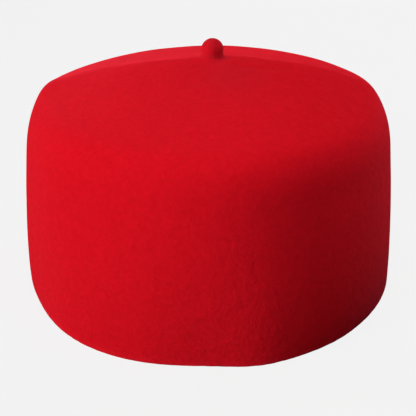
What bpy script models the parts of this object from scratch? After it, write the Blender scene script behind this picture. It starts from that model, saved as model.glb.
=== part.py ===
"""Fez hat: one soft cap of red wool felt, blocked in one piece with a small felted nub on top.

Metres, +Z up. The cap stands on its cut rim at z = 0, with the middle of its plan over the origin
and its front towards -Y. It is a turned shell of felt, pulled a little out of round by hand, with
the low crest that stays across the crown of a soft hat that has been folded flat.
"""
import bpy
from math import atan2, degrees, exp, pi, radians, sin, sqrt
from mathutils import Matrix

COLLECTION = "fez_hat"
CUTTERS = "fez_hat_cutters"

# Felt
FELT_THICKNESS = 0.0026
FELT_RED = (0.60, 0.008, 0.018, 1.0)
FELT_ROUGHNESS = 0.95

# Side wall: from the cut rim up to where the shoulder starts
RIM_RADIUS = 0.095
WALL_TOP_RADIUS = 0.0898
WALL_TOP_HEIGHT = 0.0745
WALL_BELLY = 0.0008

# Shoulder: one soft curve from the wall over to the crown
CROWN_RADIUS = 0.072
WALL_PULL = 0.0215
CROWN_PULL = 0.005

# Crown: highest along a crest that runs from left to right, falling to the front and the back
CROWN_HEIGHT = 0.1135
CREST_SPAN = 0.080
CREST_DROP = 0.0150
CREST_POWER = 2.5
CREST_SOFTNESS = 0.007
SIDE_FALL = 0.19
SIDE_ROUNDING = 0.6

# Nub: a straight-sided button of solid felt with a ball top, its root spread into the crown
NUB_RADIUS = 0.0052
NUB_TOP_HEIGHT = 0.1228
NUB_OFFSET_X = 0.0015
NUB_ROOT_RADIUS = 0.0072
NUB_ROOT_RISE = 0.0016
NUB_ROOT_DEPTH = 0.0012

# Hand-set unevenness of the rim: where it stands in or out of the round, fading up the wall
RIM_LOBES = (
    # bearing (degrees), spread (degrees), reach outward
    (-158.0, 17.0, -0.0020),
    (-125.0, 18.0, 0.0012),
    (-92.0, 13.0, -0.0021),
    (-31.0, 22.0, -0.0016),
    (0.0, 14.0, -0.0005),
    (48.0, 26.0, 0.0007),
    (108.0, 20.0, -0.0012),
)
CROWN_SKEW = 0.0011

# Fineness of the mesh
TURN_STEPS = 72
CROWN_RINGS = 9
SHOULDER_RINGS = 10
WALL_RINGS = 5
NUB_STEPS = 24
NUB_BALL_RINGS = 6
NUB_ROOT_RINGS = 4
TRIM_ALLOWANCE = 0.004


def clear_scene():
    """Start from an empty scene."""
    for thing in list(bpy.data.objects):
        bpy.data.objects.remove(thing, do_unlink=True)


def new_collection(name):
    """A collection of the scene, made fresh."""
    collection = bpy.data.collections.new(name)
    bpy.context.scene.collection.children.link(collection)
    return collection


def felt_material():
    """Red wool felt: strong colour, no gloss."""
    material = bpy.data.materials.new("red_felt")
    material.use_nodes = True
    shader = material.node_tree.nodes["Principled BSDF"]
    shader.inputs["Base Color"].default_value = FELT_RED
    shader.inputs["Roughness"].default_value = FELT_ROUGHNESS
    shader.inputs["Metallic"].default_value = 0.0
    material.diffuse_color = FELT_RED
    return material


def blend_four(a, b, c, d, t):
    """A point of the cubic curve that leaves a towards b and arrives at d from c."""
    s = 1.0 - t
    weights = (s * s * s, 3 * s * s * t, 3 * s * t * t, t * t * t)
    return tuple(sum(w * p[axis] for w, p in zip(weights, (a, b, c, d))) for axis in (0, 1))


def crown_height(x, y):
    """Height of the crown over a place in plan: a crest along X that falls to the front and back."""
    along = CREST_DROP * (abs(x) / CREST_SPAN) ** CREST_POWER
    across = SIDE_FALL * (sqrt(y * y + CREST_SOFTNESS ** 2) - CREST_SOFTNESS)
    return CROWN_HEIGHT - along - across - SIDE_ROUNDING * y * y


def round_crown_height(radius):
    """Height of the turned crown, before the crest: what the crown has on its diagonals."""
    return crown_height(radius / sqrt(2), radius / sqrt(2))


def shell_profile():
    """(radius, height) down the outer side of the cap, from the middle of the crown to the rim."""
    points = []
    for i in range(CROWN_RINGS):
        radius = CROWN_RADIUS * i / CROWN_RINGS
        points.append((radius, round_crown_height(radius)))
    step = 0.001
    slope = (round_crown_height(CROWN_RADIUS) - round_crown_height(CROWN_RADIUS - step)) / step
    edge = (CROWN_RADIUS, round_crown_height(CROWN_RADIUS))
    over = (CROWN_RADIUS + CROWN_PULL, edge[1] + slope * CROWN_PULL)
    lean = (RIM_RADIUS - WALL_TOP_RADIUS + 4 * WALL_BELLY) / WALL_TOP_HEIGHT
    under = (WALL_TOP_RADIUS - lean * WALL_PULL, WALL_TOP_HEIGHT + WALL_PULL)
    wall_top = (WALL_TOP_RADIUS, WALL_TOP_HEIGHT)
    for i in range(SHOULDER_RINGS):
        points.append(blend_four(edge, over, under, wall_top, i / SHOULDER_RINGS))
    for i in range(WALL_RINGS + 1):
        down = i / WALL_RINGS
        radius = WALL_TOP_RADIUS + (RIM_RADIUS - WALL_TOP_RADIUS) * down
        radius += WALL_BELLY * 4 * down * (1 - down)
        points.append((radius, WALL_TOP_HEIGHT * (1 - down)))
    points.append((RIM_RADIUS, -TRIM_ALLOWANCE))
    return points


def turned_mesh(name, profile, steps):
    """Turn (radius, height) points, listed from the top down, once round the Z axis."""
    mesh = bpy.data.meshes.new(name)
    chain = [(i, i + 1) for i in range(len(profile) - 1)]
    mesh.from_pydata([(radius, 0.0, height) for radius, height in profile], chain, [])
    lathe = bpy.data.objects.new(name + "_lathe", mesh)
    bpy.context.scene.collection.objects.link(lathe)
    screw = lathe.modifiers.new("turn", "SCREW")
    screw.axis = "Z"
    screw.angle = 2 * pi
    screw.steps = steps
    screw.render_steps = steps
    screw.use_merge_vertices = True
    screw.merge_threshold = 0.0001
    graph = bpy.context.evaluated_depsgraph_get()
    turned = bpy.data.meshes.new_from_object(lathe.evaluated_get(graph))
    turned.name = name
    bpy.data.objects.remove(lathe, do_unlink=True)
    return turned


def rim_reach(bearing):
    """How far the rim stands out of the round at a bearing in degrees."""
    reach = 0.0
    for centre, spread, outward in RIM_LOBES:
        away = (bearing - centre + 180.0) % 360.0 - 180.0
        reach += outward * exp(-((away / spread) ** 2))
    return reach


def crown_share(radius):
    """1 on the crown, falling to 0 down the shoulder."""
    over = (WALL_TOP_RADIUS - radius) / (WALL_TOP_RADIUS - CROWN_RADIUS)
    over = min(1.0, max(0.0, over))
    return over * (1.5 - 0.5 * over * over)


def settled(point):
    """Where a point of the turned cap lies once the crest and the unevenness are in the felt."""
    x, y, z = point
    radius = sqrt(x * x + y * y)
    if radius < 1e-6:
        return (x, y, CROWN_HEIGHT)
    inside = min(1.0, CROWN_RADIUS / radius)
    lift = crown_height(x * inside, y * inside) - round_crown_height(radius * inside)
    bearing = degrees(atan2(y, x))
    up = min(1.0, max(0.0, z / WALL_TOP_HEIGHT))
    out = (1.0 - up) * rim_reach(bearing) + up * CROWN_SKEW * sin(radians(2 * bearing))
    stretch = 1.0 + out / RIM_RADIUS
    return (x * stretch, y * stretch, z + lift * crown_share(radius))


def centred(mesh):
    """Shift a mesh in plan so that the middle of its box stands over the origin."""
    for axis in (0, 1):
        places = [vertex.co[axis] for vertex in mesh.vertices]
        middle = (min(places) + max(places)) / 2
        for vertex in mesh.vertices:
            vertex.co[axis] -= middle


def nub_profile():
    """(radius, height) of the nub from its ball top down to its root inside the crown's felt."""
    points = []
    ball_height = NUB_TOP_HEIGHT - NUB_RADIUS
    for i in range(NUB_BALL_RINGS + 1):
        turn = 0.5 * pi * i / NUB_BALL_RINGS
        points.append((NUB_RADIUS * sin(turn), ball_height + NUB_RADIUS * sin(0.5 * pi - turn)))
    flare = NUB_ROOT_RADIUS - NUB_RADIUS
    for i in range(NUB_ROOT_RINGS + 1):
        down = i / NUB_ROOT_RINGS
        radius = NUB_RADIUS + flare * down * down
        points.append((radius, CROWN_HEIGHT + NUB_ROOT_RISE * (1 - down) ** 2))
    points.append((NUB_ROOT_RADIUS, CROWN_HEIGHT - NUB_ROOT_DEPTH))
    points.append((0.0, CROWN_HEIGHT - NUB_ROOT_DEPTH))
    return points


def guide(thing, collection):
    """Put a helper solid where it is not seen and not built."""
    collection.objects.link(thing)
    thing.hide_render = True
    thing.display_type = "WIRE"
    return thing


def nub_solid(collection):
    """The nub as its own closed solid, ready to be joined to the shell."""
    nub = bpy.data.objects.new("nub_form", turned_mesh("nub_form", nub_profile(), NUB_STEPS))
    nub.location.x = NUB_OFFSET_X
    return guide(nub, collection)


def trimming_slab(collection):
    """A slab under the floor line, which trims the rim flat as shears do on a real felt body."""
    bpy.ops.mesh.primitive_cube_add(size=1.0)
    slab = bpy.context.active_object
    for owner in list(slab.users_collection):
        owner.objects.unlink(slab)
    slab.name = "trimming_slab"
    width = 3 * RIM_RADIUS
    depth = 4 * TRIM_ALLOWANCE
    slab.data.transform(Matrix.Diagonal((width, width, depth, 1.0)))
    slab.location.z = -depth / 2
    return guide(slab, collection)


def add_boolean(thing, name, operation, other):
    """Join or cut with another solid."""
    modifier = thing.modifiers.new(name, "BOOLEAN")
    modifier.operation = operation
    modifier.solver = "EXACT"
    modifier.object = other


def felt_cap(parts, cutters):
    """The whole hat: a shell of felt, trimmed at the rim, with the nub felted onto its crown."""
    mesh = turned_mesh("felt_cap", shell_profile(), TURN_STEPS)
    for vertex in mesh.vertices:
        vertex.co = settled(vertex.co)
    centred(mesh)
    mesh.shade_smooth()
    cap = bpy.data.objects.new("felt_cap", mesh)
    parts.objects.link(cap)
    wall = cap.modifiers.new("felt_wall", "SOLIDIFY")
    wall.thickness = FELT_THICKNESS
    wall.offset = -1.0
    wall.use_even_offset = True
    add_boolean(cap, "trim_rim", "DIFFERENCE", trimming_slab(cutters))
    add_boolean(cap, "felt_on_nub", "UNION", nub_solid(cutters))
    cap.data.materials.append(felt_material())
    return cap


def main():
    clear_scene()
    parts = new_collection(COLLECTION)
    cutters = new_collection(CUTTERS)
    felt_cap(parts, cutters)


main()
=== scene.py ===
# %% [markdown]
# # A soft red felt fez
#
# The hat is one cap of thick wool felt. A felt maker wets and shrinks a cone of loose wool until
# the fibres lock, pulls it over a wooden block while it is hot, and trims the rim with shears.
# There is no seam, no stiffener and no lining, so the whole look rests on two things: a soft
# form with small hand-made faults in it, and a dense, matt, slightly hairy surface.
#
# Everything is in metres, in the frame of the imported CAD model: +Z is up, -Y is the front, and the
# cut rim stands on z = 0.

# %% Load the fixed frame
import bpy
from math import atan2, cos, degrees, exp, pi, radians, sin, sqrt, tan
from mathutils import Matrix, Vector, noise


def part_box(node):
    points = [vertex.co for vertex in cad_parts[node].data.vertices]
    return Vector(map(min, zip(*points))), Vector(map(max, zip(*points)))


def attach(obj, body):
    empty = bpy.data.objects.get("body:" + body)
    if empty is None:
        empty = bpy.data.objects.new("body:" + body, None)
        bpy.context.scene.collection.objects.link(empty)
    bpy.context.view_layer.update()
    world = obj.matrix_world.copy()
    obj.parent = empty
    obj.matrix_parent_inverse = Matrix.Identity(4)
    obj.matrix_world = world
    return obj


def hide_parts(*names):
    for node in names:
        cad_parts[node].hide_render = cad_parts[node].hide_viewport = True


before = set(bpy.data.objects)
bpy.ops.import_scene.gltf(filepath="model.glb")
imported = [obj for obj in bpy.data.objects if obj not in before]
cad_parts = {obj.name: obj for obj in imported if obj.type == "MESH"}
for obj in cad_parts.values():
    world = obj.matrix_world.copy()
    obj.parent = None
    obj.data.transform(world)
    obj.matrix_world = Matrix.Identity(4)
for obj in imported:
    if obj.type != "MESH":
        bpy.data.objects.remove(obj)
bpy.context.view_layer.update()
cad_cap_low, cad_cap_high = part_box("felt_cap")
print("CAD cap, mm:", [round(1000 * side, 1) for side in cad_cap_high - cad_cap_low])

# %% [markdown]
# ## The camera
#
# A camera is a place, a direction and a lens. The picture shows the crown from above and the rim
# as a flat ellipse, so the camera looks down by about 26 degrees. The bulging of the rim's curve
# tells how near it stands: a little under half a metre. A long lens (79 mm on a 36 mm sensor)
# then makes the hat fill the width. Looking straight down the +Y axis needs only one turn, about X.

# %% Camera
camera_place = (-0.0003, -0.4276, 0.2456)
camera_dip = 26.5
camera_lens = 79.2
sensor_width = 36.0
nearest_seen = 0.01
farthest_seen = 100.0

camera_data = bpy.data.cameras.new("view_camera")
camera_data.lens = camera_lens
camera_data.sensor_width = sensor_width
camera_data.clip_start = nearest_seen
camera_data.clip_end = farthest_seen
camera = bpy.data.objects.new("view_camera", camera_data)
camera.location = camera_place
camera.rotation_euler = (radians(90.0 - camera_dip), 0.0, 0.0)
bpy.context.scene.collection.objects.link(camera)
bpy.context.scene.camera = camera
print("camera stands %.2f m in front of the hat" % -camera_place[1])

# %% [markdown]
# ## Floor and light
#
# Felt drinks light: it has no gloss, so its form shows only as a slow change from bright to dark.
# The main light, a soft panel low on the left, does that. Weaker panels behind the hat, high on
# the right, overhead and in front, and a white card on the right, open up the shade and brighten
# the far edge of the crown.
#
# The floor is a mesh plane, so large that its edge is out of sight when the camera is low. It is
# a light table: it glows by itself, which keeps shadows on it faint. Its bounce is switched off
# for diffuse rays, because it would light the hat from below and wash out the shade at the rim.

# %% Floor
floor_size = 60.0
floor_grey = (0.06, 0.06, 0.06, 1.0)
floor_glow = 0.84
floor_roughness = 0.9
white = (1.0, 1.0, 1.0, 1.0)

floor_mesh = bpy.data.meshes.new("floor")
half_floor = floor_size / 2
floor_corners = [(-half_floor, -half_floor, 0), (half_floor, -half_floor, 0)]
floor_corners += [(half_floor, half_floor, 0), (-half_floor, half_floor, 0)]
floor_mesh.from_pydata(floor_corners, [], [(0, 1, 2, 3)])
floor = bpy.data.objects.new("floor", floor_mesh)
bpy.context.scene.collection.objects.link(floor)
floor.visible_diffuse = False

floor_paint = bpy.data.materials.new("pale_floor")
floor_paint.use_nodes = True
floor_shader = floor_paint.node_tree.nodes["Principled BSDF"]
floor_shader.inputs["Base Color"].default_value = floor_grey
floor_shader.inputs["Roughness"].default_value = floor_roughness
floor_shader.inputs["Specular IOR Level"].default_value = 0.0
floor_shader.inputs["Emission Color"].default_value = white
floor_shader.inputs["Emission Strength"].default_value = floor_glow
floor_mesh.materials.append(floor_paint)
print("floor is %.0f m wide" % floor_size)

# %% [markdown]
# ### Sky
#
# The world is a plain pale backdrop to the camera. As a light it is nearly dark, so that the
# panels alone shape the hat, and quite dark below the horizon, because the hat stands on
# something. A Light Path node tells the two uses apart.

# %% Sky: a pale backdrop that gives hardly any light
backdrop_bright = 0.85
sky_bright = 0.01
sky_below = 0.0
horizon_band = 0.02

world = bpy.data.worlds.new("pale_studio")
world.use_nodes = True
bpy.context.scene.world = world
sky = world.node_tree
sky_shader = sky.nodes["Background"]
sky_direction = sky.nodes.new("ShaderNodeTexCoord")
sky_axes = sky.nodes.new("ShaderNodeSeparateXYZ")
sky_rise = sky.nodes.new("ShaderNodeMapRange")
sky_rise.inputs["From Min"].default_value = -horizon_band
sky_rise.inputs["From Max"].default_value = 0.0
sky_rise.inputs["To Min"].default_value = sky_below
sky_rise.inputs["To Max"].default_value = sky_bright
sky_use = sky.nodes.new("ShaderNodeLightPath")
sky_choice = sky.nodes.new("ShaderNodeMix")
sky_choice.inputs["B"].default_value = backdrop_bright
sky.links.new(sky_direction.outputs["Generated"], sky_axes.inputs["Vector"])
sky.links.new(sky_axes.outputs["Z"], sky_rise.inputs["Value"])
sky.links.new(sky_rise.outputs["Result"], sky_choice.inputs["A"])
sky.links.new(sky_use.outputs["Is Camera Ray"], sky_choice.inputs["Factor"])
sky.links.new(sky_choice.outputs["Result"], sky_shader.inputs["Strength"])
sky_shader.inputs["Color"].default_value = white
print("sky: %.2f to the camera, %.2f as a light" % (backdrop_bright, sky_bright))

# %% [markdown]
# ### Panels
#
# A panel's brightness is easier to choose as the light that reaches the hat, where 1 turns a
# white card facing the panel white. A disk lamp of P watts gives P / (pi * distance)^2 of that.

# %% A soft lamp
def add_lamp(name, distance, size, light):
    """A round soft lamp that the camera doesn't see."""
    data = bpy.data.lights.new(name, "AREA")
    data.shape = "DISK"
    data.size = size
    data.energy = light * (pi * distance) ** 2
    lamp = bpy.data.objects.new(name, data)
    lamp.visible_camera = False
    bpy.context.scene.collection.objects.link(lamp)
    return lamp


print("watts for full light from 1 m: %.1f" % pi ** 2)

# %% [markdown]
# The low panels would leave white patches on the floor beside them. In a studio they would wear
# a grid, a honeycomb that lets light out forwards only, and here the lamp's Spread does the same.
# Closing the spread packs the power into a narrower beam, so it has to be divided by that gain.
#
# The high right panel stands for a whole bright wall, so wide that the nub has no shadow from it.
# A lamp of that size would spread its light over the sides of the hat too. So it is kept small, and
# its shadow is switched off.

# %% Eight soft panels
hat_middle = Vector((0.0, 0.0, 0.06))
low_rise = 10.0              # panels lower than this many degrees wear a grid
grid_opening = radians(60.0)
bright_wall = "high_right_panel"
soft_panels = (
    # name, degrees from the front to the right, degrees up, distance, size, light at the hat
    ("low_left_panel", -62.0, 4.0, 1.40, 0.50, 0.96),
    ("back_left_panel", -130.0, 4.0, 1.40, 0.50, 0.43),
    ("back_panel", 180.0, 4.0, 1.40, 0.50, 0.87),
    ("high_back_panel", 150.0, 30.0, 1.40, 0.50, 0.16),
    ("high_right_panel", 118.0, 50.0, 1.40, 0.50, 0.41),
    ("overhead_panel", 0.0, 88.0, 0.45, 0.25, 0.23),
    ("front_panel", 0.0, 20.0, 0.45, 0.25, 0.23),
    ("high_front_panel", -10.0, 50.0, 0.45, 0.25, 0.14),
)


def grid_gain(distance, size):
    """How many times brighter the grid's narrower beam makes a lamp of this size at the hat."""
    reach = tan(grid_opening / 2)
    on_axis = reach / (reach - grid_opening / 2)
    off_axis_loss = size / (3 * distance * reach)
    return on_axis * (1.0 - off_axis_loss)


def hang_panel(name, bearing, rise, distance, size, light):
    """Hang a lamp that faces the hat, with a grid if it is a low one."""
    flat = cos(radians(rise))
    way = Vector((sin(radians(bearing)) * flat, -cos(radians(bearing)) * flat, sin(radians(rise))))
    lamp = add_lamp(name, distance, size, light)
    lamp.location = hat_middle + way * distance
    lamp.rotation_mode = "QUATERNION"
    lamp.rotation_quaternion = way.to_track_quat("Z", "Y")
    lamp.data.use_shadow = name != bright_wall
    if rise < low_rise:
        lamp.data.spread = grid_opening
        lamp.data.energy /= grid_gain(distance, size)


for row in soft_panels:
    hang_panel(*row)
for data in bpy.data.lights:
    print("%s: %.2f W" % (data.name, data.energy))

# %% [markdown]
# A white card that lies on the table beside the hat throws light back up into the shade on the
# right. It could be a white sheet that the panels light. A lamp that faces up is quicker to render,
# and its brightness can be set by itself.

# %% A card on the table
card_bearing = 90.0          # degrees from the front to the right
card_distance = 0.30
card_size = 0.24
card_light = 0.36
card_height = 0.002

card = add_lamp("right_card", card_distance, card_size, card_light)
card_turn = radians(card_bearing)
card.location = (sin(card_turn) * card_distance, -cos(card_turn) * card_distance, card_height)
card.rotation_euler.x = pi
bpy.context.scene.view_settings.view_transform = "Standard"
print("card: %.2f W" % card.data.energy)

# %% [markdown]
# ## The felt cap's form
#
# The hat is nearly a turned shape, so it starts as a profile: heights over radii, from the middle
# of the crown, over the soft shoulder, down the wall. Two things break the round. The crown keeps
# a low crest from its days folded flat in a drawer, and the rim stands in and out a little.
# A modelling program could sculpt these. Here they are short formulas that move the profile's
# points, so that they can be read, changed and repeated.

# %% Sizes of the cap
felt_thickness = 0.0026
rim_radius = 0.095
wall_top_radius = 0.0898
wall_top_height = 0.0745
wall_belly = 0.0008
crown_radius = 0.072
wall_pull = 0.0215           # how far the shoulder's curve is drawn on along the wall's lean
crown_pull = 0.005           # and how far along the crown's slope
print("mean opening, mm:", round(2000 * (rim_radius - felt_thickness), 1))

# %% [markdown]
# ### The crown and its crest
#
# The crest is a soft ridge: the height falls away on both sides of it like a tent with a rounded
# pole. The square root of a sum of squares is the usual formula for a corner with a soft tip:
# far from the line it is a straight slope, and near it a small arc. The fold is crispest just to
# the right of the nub and softest at its right end, and its line wanders a few millimetres. Tables
# hold what changes along the crest: each row is a place and the value there.

# %% Sizes of the crown and its crest
crown_top = 0.1135
crest_span = 0.080
crest_drop = 0.0150
crest_power = 2.5
side_fall = 0.19
back_lift = (
    # along the crest, how much less the felt falls behind it than before it (below 0: more)
    (-0.080, -0.003),
    (-0.060, -0.006),
    (-0.025, 0.001),
    (0.000, 0.011),
    (0.030, 0.004),
    (0.080, 0.002),
)
side_rounding = 0.6
fold_level = 0.0055          # a fold of this softness is just as high as crown_top
crest_softness = (
    # along the crest, how soft the fold is there
    (-0.080, 0.0065),
    (-0.060, 0.0054),
    (-0.045, 0.0044),
    (-0.030, 0.0036),
    (0.000, 0.0030),
    (0.018, 0.0020),
    (0.032, 0.0046),
    (0.050, 0.0064),
    (0.080, 0.0085),
)
crest_line = (
    # along the crest, how far it lies behind the middle
    (-0.080, 0.0040),
    (-0.062, 0.0017),
    (-0.052, -0.0001),
    (-0.041, -0.0033),
    (-0.028, -0.0033),
    (-0.016, -0.0022),
    (0.000, -0.0003),
    (0.012, 0.0003),
    (0.026, 0.0007),
    (0.034, 0.0006),
    (0.046, 0.0023),
    (0.060, 0.0048),
    (0.080, 0.0060),
)
crest_wander_reach = 0.030   # the line's wander dies out over this much to the front and back
print("softness along the crest: %d rows, its line: %d" % (len(crest_softness), len(crest_line)))

# %% [markdown]
# The height is one formula. It could be a grid of heights instead, but a formula can be asked for
# any place, so the mesh can be as fine as it needs to be. Between two rows of a table it takes a
# soft step, which starts and ends level, so that no kink shows where the rows meet.

# %% Height of the crown
def between(table, place):
    """Read a two-column table at any place, with soft steps between its rows."""
    if place <= table[0][0]:
        return table[0][1]
    for (start, low), (end, high) in zip(table, table[1:]):
        if place <= end:
            part = (place - start) / (end - start)
            part = part * part * (3.0 - 2.0 * part)
            return low + (high - low) * part
    return table[-1][1]


def crown_height(x, y):
    """Height of the felt over a place on the crown."""
    wander = between(crest_line, x) * exp(-((y / crest_wander_reach) ** 2))
    across = y - wander
    softness = between(crest_softness, x)
    rounded = sqrt(across * across + softness * softness)
    along = crest_drop * (abs(x) / crest_span) ** crest_power
    lift = between(back_lift, x)
    fall = side_fall * (rounded - fold_level) - lift * (rounded + across) / 2
    return crown_top - along - fall - side_rounding * y * y


print("crown is %.1f mm high" % (1000 * crown_height(0.0, 0.0)))

# %% [markdown]
# ### From profile to cap
#
# `round_height` is what the crown would be if it were turned. The crest is then a lift that is
# added in full on the crown and dies out down the shoulder. The shoulder itself is one cubic
# curve, which leaves the crown along its slope and meets the wall along the wall's lean, so no
# edge shows where they meet.

# %% Profile of the shoulder and wall
shoulder_rings = 26
wall_rings = 46
turned_softness = 0.007
slope_step = 0.001           # the crown's slope at its edge is read over this much of it


def round_height(radius):
    """Height of the crown at a radius, as read on its diagonals."""
    x = radius / sqrt(2)
    fall = side_fall * (sqrt(x * x + turned_softness ** 2) - turned_softness)
    along = crest_drop * (x / crest_span) ** crest_power
    return crown_top - along - fall - side_rounding * x * x


def cubic(points, t):
    """A place on the cubic curve over four points."""
    s = 1.0 - t
    weights = (s * s * s, 3 * s * s * t, 3 * s * t * t, t * t * t)
    return tuple(sum(w * p[axis] for w, p in zip(weights, points)) for axis in (0, 1))


def shoulder_curve():
    """The four points that steer the shoulder."""
    slope = (round_height(crown_radius) - round_height(crown_radius - slope_step)) / slope_step
    lean = (rim_radius - wall_top_radius + 4 * wall_belly) / wall_top_height
    edge = (crown_radius, round_height(crown_radius))
    over = (crown_radius + crown_pull, edge[1] + slope * crown_pull)
    under = (wall_top_radius - lean * wall_pull, wall_top_height + wall_pull)
    return edge, over, under, (wall_top_radius, wall_top_height)


def side_profile(lowest):
    """(radius, height) from the crown's edge, over the shoulder, down the wall to a height."""
    steering = shoulder_curve()
    points = [cubic(steering, i / shoulder_rings) for i in range(shoulder_rings)]
    for i in range(wall_rings + 1):
        height = wall_top_height + (lowest - wall_top_height) * i / wall_rings
        down = 1.0 - height / wall_top_height
        radius = wall_top_radius + (rim_radius - wall_top_radius) * down
        radius += wall_belly * 4 * down * (1 - down)
        points.append((radius, height))
    return points


print("shoulder starts %.1f mm up" % (1000 * shoulder_curve()[3][1]))

# %% [markdown]
# ### Out of round
#
# Felt has no frame, so the rim takes whatever shape the hand leaves. Each row of a table is one
# lobe: the bearing it is centred on, how wide it is and how far it stands in or out. Bearings are
# counted anticlockwise from the hat's right, so the front is at -90. The rim has its own lobes and
# the top of the wall has others, and the wall between them blends from one to the other.
#
# Three more faults show in the outline. Near the front the rim has a blunt corner, which dies out
# half way up the wall. At the front right and at the left the last centimetre of the wall curls
# inward. And the wall bellies more in front and behind than at its two sides, which were the folds
# when the hat was put away flat.

# %% Tables of the unevenness
rim_lobes = (
    # bearing (degrees), spread (degrees), reach outward
    (-158.0, 17.0, -0.0020),
    (-125.0, 18.0, 0.0012),
    (-92.0, 13.0, -0.0017),
    (-31.0, 22.0, -0.0013),
    (0.0, 14.0, -0.0004),
    (48.0, 26.0, 0.0007),
    (108.0, 20.0, -0.0012),
)
rim_corner = (-76.0, 8.5, 0.0011)
corner_height = 0.045        # where the corner has died out
curls = (
    # bearing, spread, how deep the wall's foot is curled in
    (-44.0, 21.0, 0.0026),
    (-160.0, 14.0, 0.0016),
)
curl_height = 0.011
shoulder_lobes = (
    # bearing, spread, reach outward at the top of the wall
    (-167.0, 25.0, -0.0002),
    (-150.0, 25.0, 0.0008),
    (-50.0, 25.0, -0.0010),
    (45.0, 25.0, 0.0009),
    (135.0, 30.0, -0.0014),
)
fold_belly = 0.0012
print("lobes: %d on the rim, %d on the shoulder" % (len(rim_lobes), len(shoulder_lobes)))

# %% [markdown]
# A lobe is a bell curve over the bearing, so it fades out softly on both sides and can be added to
# the others. Moving the rim out of round also moves its middle, which is measured here, because the
# finished hat has to stand over the frame's origin.

# %% Unevenness of the rim and wall
def lobe(bearing, centre, spread):
    """1 at a lobe's centre, falling softly to 0 on both sides."""
    away = (bearing - centre + 180.0) % 360.0 - 180.0
    return exp(-((away / spread) ** 2))


def reach_of(lobes, bearing):
    """How far a row of lobes stands out of the round at a bearing in degrees."""
    return sum(out * lobe(bearing, centre, spread) for centre, spread, out in lobes)


def wall_reach(bearing, height):
    """How far the wall stands out of the round: lobes, corner, curls and belly together."""
    up = min(1.0, max(0.0, height / wall_top_height))
    curl = reach_of(curls, bearing)
    curled_in = curl * exp(-max(0.0, height) / curl_height)
    belly = fold_belly * sin(radians(bearing)) ** 2 * sin(pi * up)
    centre, spread, out = rim_corner
    corner_reach = out * lobe(bearing, centre, spread) * max(0.0, 1.0 - height / corner_height)
    rim_reach = reach_of(rim_lobes, bearing) + curl
    shoulder_reach = reach_of(shoulder_lobes, bearing)
    return (1.0 - up) * rim_reach + up * shoulder_reach + belly + corner_reach - curled_in


def stretched(x, y, height):
    """Move a place in plan out of the round."""
    stretch = 1.0 + wall_reach(degrees(atan2(y, x)), height) / rim_radius
    return x * stretch, y * stretch


rim_ring = [(rim_radius * cos(radians(b)), rim_radius * sin(radians(b))) for b in range(360)]
rim_ring = [stretched(x, y, 0.0) for x, y in rim_ring]
plan_middle = [
    (min(place[axis] for place in rim_ring) + max(place[axis] for place in rim_ring)) / 2
    for axis in (0, 1)
]
print("rim's middle before centring, mm:", [round(1000 * value, 2) for value in plan_middle])

# %% [markdown]
# ### The nub
#
# The nub on top is rolled from the same wool while it is wet: a straight little post with a ball
# top, its root spread into the crown. If it were a separate object, a hard line would show where
# it enters the felt. So the rings of the cap start at the nub's tip and run without a break down
# its side, out over its root and on across the crown.

# %% Profile of the nub
nub_radius = 0.0054
nub_top = 0.1230
nub_place = 0.0018           # to the right of the middle
nub_waist = 0.00020          # how much the post is pinched under its ball
nub_root_reach = 0.0069
nub_root_rise = 0.0015
ball_rings = 14
post_rings = 7
root_rings = 9


def nub_profile():
    """(radius, height above the crown) from just beside the tip to the end of the root."""
    ball_middle = nub_top - crown_top - nub_radius
    points = []
    for i in range(1, ball_rings + 1):
        turn = 0.5 * pi * i / ball_rings
        points.append((nub_radius * sin(turn), ball_middle + nub_radius * cos(turn)))
    for i in range(1, post_rings + 1):
        down = i / (post_rings + 1)
        height = ball_middle + (nub_root_rise - ball_middle) * down
        points.append((nub_radius - nub_waist * sin(pi * down), height))
    for i in range(root_rings + 1):
        turn = 0.5 * pi * i / root_rings
        spread = (nub_root_reach - nub_radius) * (1.0 - cos(turn))
        points.append((nub_radius + spread, nub_root_rise * (1.0 - sin(turn))))
    return points


print("nub stands %.1f mm over the crown" % (1000 * (nub_top - crown_top)))

# %% [markdown]
# ## Rings and bearings
#
# The cap's mesh is a grid: rings that run round it, and bearings that run down it. A grid gives
# even, four-sided faces that bend smoothly, and each point can be worked out from just two
# numbers. The rings are centred on the nub at the top, and their centre drifts to the middle of
# the hat by the time they reach the shoulder.

# %% Places on the outer side
bearings = 320
crown_rings = 40
pole_shift = (nub_place + plan_middle[0], plan_middle[1])


def bearing_angle(j):
    """The angle of one bearing, anticlockwise from the hat's right."""
    return 2 * pi * j / bearings


def crown_share(radius):
    """1 on the crown, falling to 0 down the shoulder, and level where it meets the crown."""
    over = (wall_top_radius - radius) / (wall_top_radius - crown_radius)
    over = min(1.0, max(0.0, over))
    return over * (1.5 - 0.5 * over * over)


def crown_place(radius, angle):
    """A place on the crown, with the nub's own shift fading out towards the edge."""
    fade = 1.0 - max(0.0, radius - nub_root_reach) / (crown_radius - nub_root_reach)
    x = radius * cos(angle) + pole_shift[0] * fade
    y = radius * sin(angle) + pole_shift[1] * fade
    height = crown_height(x, y)
    x, y = stretched(x, y, height)
    return Vector((x - plan_middle[0], y - plan_middle[1], height))


def side_place(radius, height, angle):
    """A place on the shoulder or the wall."""
    x, y = radius * cos(angle), radius * sin(angle)
    inside = min(1.0, crown_radius / radius)
    lift = crown_height(x * inside, y * inside) - round_height(radius * inside)
    x, y = stretched(x, y, height)
    height += lift * crown_share(radius)
    return Vector((x - plan_middle[0], y - plan_middle[1], height))


def ring_of(place, *numbers):
    """A ring of points, with one of the two rules above for the place of each."""
    return [place(*numbers, bearing_angle(j)) for j in range(bearings)]


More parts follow.
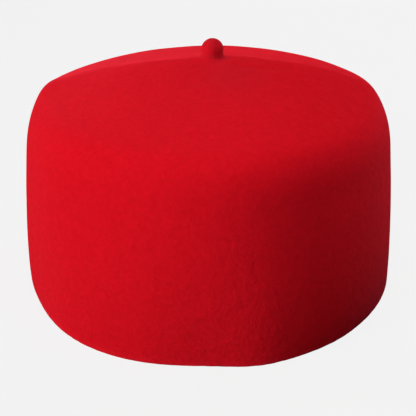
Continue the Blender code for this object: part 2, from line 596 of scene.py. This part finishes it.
corner = 0.0005              # radius of the cut rim's corners, where the outer sheet ends
crown_sheet = []
for i in range(crown_rings):
    radius = nub_root_reach + (crown_radius - nub_root_reach) * i / crown_rings
    crown_sheet.append(ring_of(crown_place, radius))
side_sheet = [ring_of(side_place, radius, height) for radius, height in side_profile(corner)]
outer_sheet = crown_sheet + side_sheet
print("outer sheet: %d rings of %d points" % (len(outer_sheet), bearings))

# %% [markdown]
# ### Rings over the nub
#
# On the ball and the post the height is the nub's own. On the root it has to follow the crown,
# which slopes to the front and back, so the last few rings blend from one to the other.

# %% Nub rings
def nub_ring(radius, height):
    """A ring of the nub at a radius and a height above the crown."""
    on_crown = min(1.0, max(0.0, 1.0 - height / (2 * nub_root_rise)))
    ring = []
    for j in range(bearings):
        place = crown_place(radius, bearing_angle(j))
        slope = (place.z - crown_top) * on_crown
        ring.append(Vector((place.x, place.y, crown_top + height + slope)))
    return ring


nub_sheet = [nub_ring(radius, height) for radius, height in nub_profile()[:-1]]
nub_tip = crown_place(0.0, 0.0)
nub_tip.z = nub_top
print("nub: %d rings" % len(nub_sheet))

# %% [markdown]
# ## Faults of hand and use
#
# A perfectly even surface looks like plastic. Real felt is a bit thicker here and thinner there,
# so the light ripples over it. Noise along the surface's own direction gives this: a broad swell of
# a few centimetres and a finer one of about one. Folding left two more marks. A short, soft crease
# runs to the right of the nub, in front of the crest, where the crown was pinched. And the left
# end of the crest, where the fold was pressed hardest, stands out as a blunt corner.

# %% Directions out of the surface
def facing(sheet, closed_top=None):
    """The outward direction at every point of a sheet of rings."""
    last = len(sheet) - 1
    directions = []
    for i, ring in enumerate(sheet):
        row = []
        for j in range(bearings):
            above = sheet[max(0, i - 1)][j]
            if i == 0 and closed_top is not None:
                above = closed_top
            below = sheet[min(last, i + 1)][j]
            along = ring[(j + 1) % bearings] - ring[j - 1]
            row.append((below - above).cross(along).normalized())
        directions.append(row)
    return directions


upright = Vector((0.0, 0.0, 1.0))
edge_way = facing(side_sheet)[0][0]
edge_turn = degrees(edge_way.angle(upright))
print("at its right edge the crown faces %.0f degrees away from up" % edge_turn)

# %% Swells, and the crease beside the nub
broad_swell = 0.00022
broad_size = 0.036
small_swell = 0.00008
small_size = 0.011
swell_shift = Vector((3.1, 5.7, 1.3))   # so that the two swells don't rise together
crease_middle = 0.026        # the crease is a shallow bow, whose middle is this far to the right
crease_back = -0.0103        # and this far behind the hat's middle (below 0: in front of it)
crease_bend = 12.5
crease_depth = 0.00080
crease_width = 0.0019
crease_from, crease_fade_in = 0.0075, 0.006
crease_to, crease_fade_out = 0.046, 0.028
crest_end = Vector((-0.0795, 0.0, 0.1000))
crest_end_size = 0.009
crest_end_reach = 0.0012


def swell(place):
    """How far the felt stands out at a place, in metres."""
    broad = noise.noise(place / broad_size)
    small = noise.noise(place / small_size + swell_shift)
    return broad_swell * broad + small_swell * small


def crease(place):
    """0 beside the soft crease to the right of the nub, 1 in its middle."""
    if place.z < wall_top_height:
        return 0.0
    line = crease_back + crease_bend * (place.x - crease_middle) ** 2
    start = min(1.0, max(0.0, (place.x - crease_from) / crease_fade_in))
    end = min(1.0, max(0.0, (crease_to - place.x) / crease_fade_out))
    return start * end * exp(-(((place.y - line) / crease_width) ** 2))


def crest_corner(place):
    """How far the left end of the crest stands out, as a blunt corner on the shoulder."""
    return crest_end_reach * exp(-(((place - crest_end).length / crest_end_size) ** 2))


print("crest's left end stands out by %.1f mm" % (1000 * crest_corner(crest_end)))

# %% [markdown]
# ### Moving the sheets
#
# A Displace modifier could do this with a texture. Moving the points in the script lets each rule
# say where it is calm: the felt hardly swells beside the nub and on the rim, because both were
# worked by hand, and the nub has a small swell of its own.

# %% Move the outer side
def grown(sheet, amount, closed_top=None):
    """A sheet moved along its own directions, by an amount worked out at each point."""
    directions = facing(sheet, closed_top)
    moved = []
    for ring, row in zip(sheet, directions):
        moved.append([place + way * amount(place) for place, way in zip(ring, row)])
    return moved


nub_swell = 0.00007
nub_grain = 0.0031
calm_round_nub = 0.012       # the swell grows over this much of the crown round the nub
calm_over_rim = 0.010        # and over this much of the wall above the rim
swell_at_rim = 0.25


def nub_unevenness(place):
    """A small swell on the nub, which is too small for the cap's."""
    return nub_swell * noise.noise(place / nub_grain)


def cap_unevenness(place):
    """Swell, crest end and crease together, calm close to the nub and near the rim."""
    from_nub = sqrt((place.x - nub_place) ** 2 + place.y ** 2)
    calm = min(1.0, max(0.0, (from_nub - nub_root_reach) / calm_round_nub))
    if place.z < wall_top_height:
        calm = min(1.0, place.z / calm_over_rim + swell_at_rim)
    return swell(place) * calm + crest_corner(place) - crease_depth * crease(place)


outer_sheet = grown(outer_sheet, cap_unevenness)
nub_sheet = grown(nub_sheet, nub_unevenness, nub_tip)
print("deepest crease: %.1f mm" % (1000 * crease_depth))

# %% [markdown]
# ## The inner side and the cut rim
#
# The hat is worn, so it is open underneath and its wall has a thickness. A Solidify modifier
# could thicken the sheet, but its rim would be sharp and square. Here the inner side is the outer
# one moved inward by the felt's thickness, and the two are joined by a rim with rounded corners,
# as sheared felt has once it has been handled.

# %% Inner sheet
inner_swell = 0.00012
inner_grain = 0.007
inner_shift = Vector((9.0, 2.0, 4.0))
under_nub_shares = (0.25, 0.5, 0.75)


def inner_offset(place):
    """Inward by the thickness, with a rougher surface than outside."""
    rough = inner_swell * noise.noise(place / inner_grain + inner_shift)
    return -felt_thickness + rough


under_nub = [ring_of(crown_place, nub_root_reach * share) for share in under_nub_shares]
coarse_sheet = under_nub + crown_sheet[::2] + side_sheet[::2]
inner_sheet = grown(coarse_sheet, inner_offset)
inner_tip = crown_place(0.0, 0.0)
inner_tip.z -= felt_thickness
print("inner sheet: %d rings" % len(inner_sheet))

# %% Rounded rim between them
rim_turns = (30.0, 60.0, 90.0)
cut_roughness = 0.00018
cut_grain = 0.004
upward_share = 0.5           # of that roughness, how much also goes up


def rim_steps():
    """(how far in from the outer face, height) round the cut edge."""
    steps = []
    for turn in rim_turns:
        angle = radians(turn)
        steps.append((corner * (1.0 - cos(angle)), corner * (1.0 - sin(angle))))
    steps.append((felt_thickness / 2, 0.0))
    for turn in reversed(rim_turns):
        angle = radians(turn)
        steps.append((felt_thickness - corner * (1.0 - cos(angle)), corner * (1.0 - sin(angle))))
    return steps


rim_rings = []
for inward, height in rim_steps():
    ring = []
    for place in outer_sheet[-1]:
        way = Vector((-place.x, -place.y, 0.0)).normalized()
        spot = place + way * inward
        spot.z = height
        shake = cut_roughness * noise.noise(spot / cut_grain)
        spot += way * shake
        spot.z += upward_share * abs(shake)
        ring.append(spot)
    rim_rings.append(ring)
lowest = min(place.z for ring in rim_rings for place in ring)
for ring in rim_rings:
    for place in ring:
        place.z -= lowest
print("rim: %d rings, let down by %.3f mm to stand" % (len(rim_rings), 1000 * lowest))

# %% [markdown]
# ## One closed skin
#
# All the rings now follow each other: nub, crown, shoulder, wall, rim, inner wall, inner crown.
# `from_pydata` takes a plain list of points and a list of faces. Each face names its corners
# anticlockwise as seen from outside, so that Blender knows which side is out. Two numbers are also
# kept with every point, which the finish reads later. The first is how worn that place is, because
# the rim and the nub's tip lose their loose nap first; along the crest's fold the same lighter value
# is a painted highlight. The second is the nub's darker tone and the painted shade round it.

# %% Build the cap
rings = nub_sheet + outer_sheet + rim_rings + inner_sheet[::-1]


def skin_faces(ring_count):
    """Faces between rings, with a fan of triangles at either end."""
    faces = []
    last = ring_count - 1
    end = 1 + ring_count * bearings
    for j in range(bearings):
        k = (j + 1) % bearings
        faces.append((0, 1 + j, 1 + k))
        for i in range(last):
            here, below = 1 + i * bearings, 1 + (i + 1) * bearings
            faces.append((here + j, below + j, below + k, here + k))
        base = 1 + last * bearings
        faces.append((base + j, end, base + k))
    return faces


points = [nub_tip] + [place for ring in rings for place in ring] + [inner_tip]
cap_mesh = bpy.data.meshes.new("felt_cap_skin")
cap_mesh.from_pydata([tuple(place) for place in points], [], skin_faces(len(rings)))
cap_mesh.validate()
cap_mesh.shade_smooth()
triangles = sum(len(face.vertices) - 2 for face in cap_mesh.polygons)
print("cap: %d points, %d triangles" % (len(cap_mesh.vertices), triangles))

# %% [markdown]
# ### Worn places, and a painted highlight on the crest
#
# Hands and shelves wear the loose nap off the parts that stand out: the rim and the tip of the nub.
# Just behind the crest's fold the same lighter value is a painted highlight. It could be painted on
# by hand, but each of these places has a simple rule, so the value is worked out from a point's
# distance to them. A noise breaks it up, as wear is never even.

# %% Where the felt is worn, and the crest's painted highlight
# The crest's painted highlight: its width, and how far behind the fold it lies.
crest_highlight_width = 0.0022
crest_highlight_behind = 0.0015
crest_lowest = 0.100         # below this height there is no crest
crest_clear_of_nub = 0.014
rim_rub_height = 0.0022
tip_rub_reach = 0.0035
wear_highlight_breaks = 0.006           # size of the breaks in the wear and in the crest's highlight
wear_highlight_middle, wear_highlight_swing = 0.75, 0.5


def wear_and_crest_highlight(place):
    """0 where the nap is whole, up to 1 where worn and on the crest's painted highlight."""
    patchy = wear_highlight_middle + wear_highlight_swing * noise.noise(place / wear_highlight_breaks)
    from_tip = (place - nub_tip).length
    on_tip = exp(-((from_tip / tip_rub_reach) ** 2))
    on_rim = exp(-((place.z / rim_rub_height) ** 2))
    crest_highlight = 0.0
    # A painted highlight along the crest, just behind its fold.
    if place.z > crest_lowest and from_tip >= crest_clear_of_nub:
        off_crest = place.y - between(crest_line, place.x) - crest_highlight_behind
        crest_highlight = exp(-((off_crest / crest_highlight_width) ** 2))
    return min(1.0, patchy * max(on_tip, on_rim, crest_highlight))


print("rub at the nub's tip: %.2f" % wear_and_crest_highlight(nub_tip))

# %% [markdown]
# ### The nub's tone, and painted shade round it
#
# The nub is a darker red than the crown. Round it the same dark red is painted shade: at the
# nub's foot, most on its shadow side to the right and a little to the front, in a narrow ring round
# that side of its foot, in a soft patch in front of it and along the crease beside it.

# %% The nub's darker tone and painted shade round it
nub_share = 0.6              # of the darkest red, on the nub's ball
foot_shade_share = 0.85            # painted shade at its foot, on its lit side
foot_height = 0.0045         # below this the nub takes on the painted shade of its foot
foot_blend = 0.0010          # over this last bit it fades to the crown's own colour
foot_ring_shadow_share = 0.85          # painted shadow in a narrow ring round its foot
foot_ring_shadow_width = 0.0014
shadow_bearing = -25.0      # the nub's shadow side: to the right and a little to the front
front_shade_share = 0.34          # painted shade in a soft patch in front of the nub
front_shade_place = (0.0115, -0.0165)
front_shade_size = (0.016, 0.018)
crease_shade_share = 0.3           # painted shade in the crease beside the nub
near_nub = 0.050             # no painted shade lies further from the nub than this


def shadow_side(place):
    """1 on the nub's shadow side, falling to 0 on its lit side."""
    bearing = atan2(place.y - nub_tip.y, place.x - nub_tip.x)
    return (0.5 + 0.5 * cos(bearing - radians(shadow_bearing))) ** 2


def nub_tone_and_foot_shade(place, from_axis):
    """Even on the nub's ball, painted shade at its foot, most on the shadow side, 0 on the crown."""
    if from_axis >= nub_root_reach:
        return 0.0
    height = max(0.0, place.z - crown_top)
    towards_foot = max(0.0, 1.0 - height / foot_height)
    at_foot = foot_shade_share + (1.0 - foot_shade_share) * shadow_side(place)
    share = nub_share + (at_foot - nub_share) * towards_foot
    return share * min(1.0, height / foot_blend)


def foot_ring_shadow(place, from_axis):
    """Painted shadow in a narrow ring round the nub's foot, on its shadow side."""
    from_foot_ring = (from_axis - nub_root_reach) / foot_ring_shadow_width
    return foot_ring_shadow_share * shadow_side(place) * exp(-(from_foot_ring ** 2))


def front_shade_patch(place):
    """Painted shade in a soft patch in front of the nub."""
    across = (place.x - front_shade_place[0]) / front_shade_size[0]
    along = (place.y - front_shade_place[1]) / front_shade_size[1]
    return front_shade_share * exp(-(across * across + along * along))


def shade_and_nub_tone(place):
    """The nub's darker tone, and painted shade on the crown round it, 0 to 1."""
    from_axis = sqrt((place.x - nub_tip.x) ** 2 + (place.y - nub_tip.y) ** 2)
    if place.z < crest_lowest or from_axis > near_nub:
        return 0.0
    # Painted shade round the nub, and the nub's own darker tone: the darkest wins.
    shades_here = (nub_tone_and_foot_shade(place, from_axis), foot_ring_shadow(place, from_axis),
                 front_shade_patch(place), crease_shade_share * crease(place))
    return max(shades_here)


print("density of the nub's tip: %.2f" % shade_and_nub_tone(nub_tip))

# %% Write both on the skin
# Wear on the rim and the nub's tip, and a painted highlight along the crest.
wear_and_highlight = cap_mesh.attributes.new("wear_and_highlight", "FLOAT", "POINT")
# The nub's darker tone and the painted shade round it.
shade_and_tone_layer = cap_mesh.attributes.new("shade_and_nub_tone", "FLOAT", "POINT")
for i, place in enumerate(points):
    wear_and_highlight.data[i].value = wear_and_crest_highlight(place)
    shade_and_tone_layer.data[i].value = shade_and_nub_tone(place)

cap = bpy.data.objects.new("felt_cap_skin", cap_mesh)
bpy.context.scene.collection.objects.link(cap)
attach(cap, "root")
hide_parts("felt_cap")
print("points with a rub and a density:", len(points))

# %% [markdown]
# ## Red wool felt
#
# Dyed felt is not one red. Every fibre took the dye a little differently, and the sheet is denser
# in some places than others, so it is mottled at the scale of about two millimetres, and under
# that shows a mat of crossing fibres, each a tenth of a millimetre or less. The finish has the
# same layers, mottling and fibres. Over them come the two numbers from the mesh: the worn places,
# with a painted highlight along the crest, and the nub's darker tone with painted shade round it.

# %% A helper for nodes
def add_node(tree, kind, **settings):
    """A new node, with its inputs set or linked by name."""
    node = tree.nodes.new(kind)
    for name, value in settings.items():
        socket = node.inputs[name.replace("_", " ")]
        if isinstance(value, bpy.types.NodeSocket):
            tree.links.new(value, socket)
        else:
            socket.default_value = value
    return node


red_felt = bpy.data.materials.new("red_wool_felt")
red_felt.use_nodes = True
felt = red_felt.node_tree
felt_shader = felt.nodes["Principled BSDF"]
place_on_hat = felt.nodes.new("ShaderNodeTexCoord").outputs["Object"]
print("material:", red_felt.name)

# %% [markdown]
# ### Mottling
#
# Object coordinates are in metres here, so a noise scale of 480 means about 480 blotches to the
# metre: two millimetres each. A second, wider noise bends the first one's coordinates, so that
# the blotches are drawn out and hooked together as carded wool is. A third noise gives the soft
# lumps of about five millimetres where the wool was laid thicker.

# %% Mottling
blotch_scale = 480.0
lump_scale = 200.0
drift_scale = 90.0
drift_reach = 0.006
blotch_detail, lump_detail, drift_detail = 4.0, 1.0, 2.0
blotch_breaks = 0.6          # how strong the finer detail is

drift = add_node(felt, "ShaderNodeTexNoise", Vector=place_on_hat,
                 Scale=drift_scale, Detail=drift_detail)
bend = add_node(felt, "ShaderNodeVectorMath")
bend.operation = "MULTIPLY_ADD"
felt.links.new(drift.outputs["Color"], bend.inputs[0])
bend.inputs[1].default_value = (drift_reach, drift_reach, drift_reach)
felt.links.new(place_on_hat, bend.inputs[2])
blotches = add_node(felt, "ShaderNodeTexNoise", Vector=bend.outputs["Vector"],
                    Scale=blotch_scale, Detail=blotch_detail, Roughness=blotch_breaks)
lumps = add_node(felt, "ShaderNodeTexNoise", Vector=bend.outputs["Vector"],
                 Scale=lump_scale, Detail=lump_detail)
print("blotches of %.1f mm, lumps of %.1f mm" % (1000 / blotch_scale, 1000 / lump_scale))

# %% [markdown]
# ### Fibres
#
# One noise squeezed in one direction gives streaks in the other. Three such layers, each along its
# own axis, cross each other on every side of the hat. Taking the highest of them at each place
# makes some fibres lie over others.

# %% Crossing fibres
fibre_across = 2600.0
fibre_along = 420.0
fibre_detail = 2.0
fibre_breaks = 0.55
fibre_layers = []
for lie in ((1, 0, 0), (0, 1, 0), (0, 0, 1)):
    squeeze = [fibre_along if along else fibre_across for along in lie]
    scaled = add_node(felt, "ShaderNodeVectorMath")
    scaled.operation = "MULTIPLY"
    felt.links.new(bend.outputs["Vector"], scaled.inputs[0])
    scaled.inputs[1].default_value = squeeze
    layer = add_node(felt, "ShaderNodeTexNoise", Vector=scaled.outputs["Vector"],
                     Scale=1.0, Detail=fibre_detail, Roughness=fibre_breaks)
    fibre_layers.append(layer.outputs["Fac"])


def highest(tree, first, second):
    """The greater of two values."""
    node = tree.nodes.new("ShaderNodeMath")
    node.operation = "MAXIMUM"
    tree.links.new(first, node.inputs[0])
    tree.links.new(second, node.inputs[1])
    return node.outputs["Value"]


fibres = highest(felt, highest(felt, fibre_layers[0], fibre_layers[1]), fibre_layers[2])
print("fibre layers:", len(fibre_layers))

# %% [markdown]
# ### Colour
#
# A deeper red lies between the fibres. Where the felt is worn, on the rim and the nub's tip, it is a
# shade lighter and pinker, and along the crest the same lighter red is a painted highlight. The nub
# is a darker red, and round its foot, in front of it and in the crease the same dark red is painted
# shade. Each step is a Mix node: the first chooses by blotch, the second by lump, the third by
# fibre, the fourth by wear and painted highlight and the last by the nub's tone and painted shade.

# %% Colour, mixed in five steps
deep_red = (0.590, 0.0042, 0.0106, 1.0)
bright_red = (0.670, 0.0055, 0.0138, 1.0)
fibre_shade = (0.500, 0.0036, 0.0088, 1.0)
# Worn red on the rim and the nub's tip; along the crest the same red is a painted highlight.
worn_and_highlight_red = (0.740, 0.0110, 0.0240, 1.0)
# The nub's darker red, also used as painted shade round its foot, in front of it and in the crease.
shade_and_nub_red = (0.430, 0.0083, 0.0167, 1.0)
blotch_low, blotch_high = 0.30, 0.70
gap_level, fibre_level = 0.46, 0.62
lump_low, lump_high = 0.35, 0.65
most_lump_shade = 0.16
most_fibre_shade = 0.35
most_wear_highlight = 0.6
colour_a, colour_b, colour_out = 6, 7, 2      # a Mix node's sockets for colours, by number


def mixed(tree, share, low, high):
    """A colour between two others."""
    node = tree.nodes.new("ShaderNodeMix")
    node.data_type = "RGBA"
    sockets = (node.inputs["Factor"], node.inputs[colour_a], node.inputs[colour_b])
    for socket, value in zip(sockets, (share, low, high)):
        if isinstance(value, bpy.types.NodeSocket):
            tree.links.new(value, socket)
        else:
            socket.default_value = value
    return node.outputs[colour_out]


def stretched_over(tree, value, low, high, to_low=0.0, to_high=1.0):
    """Stretch the useful part of a noise over a new range."""
    node = add_node(tree, "ShaderNodeMapRange", Value=value)
    node.inputs["From Min"].default_value = low
    node.inputs["From Max"].default_value = high
    node.inputs["To Min"].default_value = to_low
    node.inputs["To Max"].default_value = to_high
    return node.outputs["Result"]


blotch_share = stretched_over(felt, blotches.outputs["Fac"], blotch_low, blotch_high)
felt_colour = mixed(felt, blotch_share, deep_red, bright_red)
lump_share = stretched_over(felt, lumps.outputs["Fac"], lump_high, lump_low, 0.0, most_lump_shade)
felt_colour = mixed(felt, lump_share, felt_colour, fibre_shade)
between_fibres = stretched_over(felt, fibres, fibre_level, gap_level, 0.0, most_fibre_shade)
felt_colour = mixed(felt, between_fibres, felt_colour, fibre_shade)
# Lighter where worn, and a painted highlight along the crest.
wear_highlight_value = felt.nodes.new("ShaderNodeAttribute")
wear_highlight_value.attribute_name = "wear_and_highlight"
wear_highlight_share = stretched_over(felt, wear_highlight_value.outputs["Fac"], 0.0, 1.0, 0.0, most_wear_highlight)
felt_colour = mixed(felt, wear_highlight_share, felt_colour, worn_and_highlight_red)
# The nub's darker tone, and painted shade round it.
shade_and_tone_value = felt.nodes.new("ShaderNodeAttribute")
shade_and_tone_value.attribute_name = "shade_and_nub_tone"
felt_colour = mixed(felt, shade_and_tone_value.outputs["Fac"], felt_colour, shade_and_nub_red)
felt.links.new(felt_colour, felt_shader.inputs["Base Color"])
print("deep and bright red:", deep_red[:3], bright_red[:3])

# %% [markdown]
# ### Relief
#
# Bump nodes tilt the light on the surface as if it had height. They are chained: first the soft
# lumps, then the blotches, and the fibres as the finest relief on top. The lumps show most where
# the light grazes the wall.

# %% Relief
lump_relief = 0.00034
blotch_relief = 0.00030
fibre_relief = 0.00019

lump_bump = add_node(felt, "ShaderNodeBump", Height=lumps.outputs["Fac"],
                     Distance=lump_relief, Strength=1.0)
blotch_bump = add_node(felt, "ShaderNodeBump", Height=blotches.outputs["Fac"],
                       Distance=blotch_relief, Strength=1.0, Normal=lump_bump.outputs["Normal"])
fibre_bump = add_node(felt, "ShaderNodeBump", Height=fibres, Distance=fibre_relief,
                      Strength=1.0, Normal=blotch_bump.outputs["Normal"])
felt.links.new(fibre_bump.outputs["Normal"], felt_shader.inputs["Normal"])
reliefs = (lump_relief, blotch_relief, fibre_relief)
print("relief, mm:", [round(1000 * height, 2) for height in reliefs])

# %% [markdown]
# ### Sheen
#
# Loose fibre ends stand off the surface and glow when seen edge-on, which is why felt is brighter
# towards its outline. The shader's sheen does this. Its tint is a lighter, pinker red than the
# felt's own, because the ends are dyed as well but thin enough to let light through.

# %% Sheen and roughness
sheen_weight = 0.16
sheen_roughness = 0.45
sheen_tint = (1.0, 0.120, 0.175, 1.0)
gap_roughness, fibre_roughness = 1.0, 0.88
rough_low, rough_high = 0.40, 0.65

felt_shader.inputs["Sheen Weight"].default_value = sheen_weight
felt_shader.inputs["Sheen Roughness"].default_value = sheen_roughness
felt_shader.inputs["Sheen Tint"].default_value = sheen_tint
felt_shader.inputs["Specular IOR Level"].default_value = 0.0
felt_shader.inputs["Diffuse Roughness"].default_value = 0.0
roughness = stretched_over(felt, fibres, rough_low, rough_high, gap_roughness, fibre_roughness)
felt.links.new(roughness, felt_shader.inputs["Roughness"])
cap_mesh.materials.append(red_felt)
print("sheen weight:", sheen_weight)
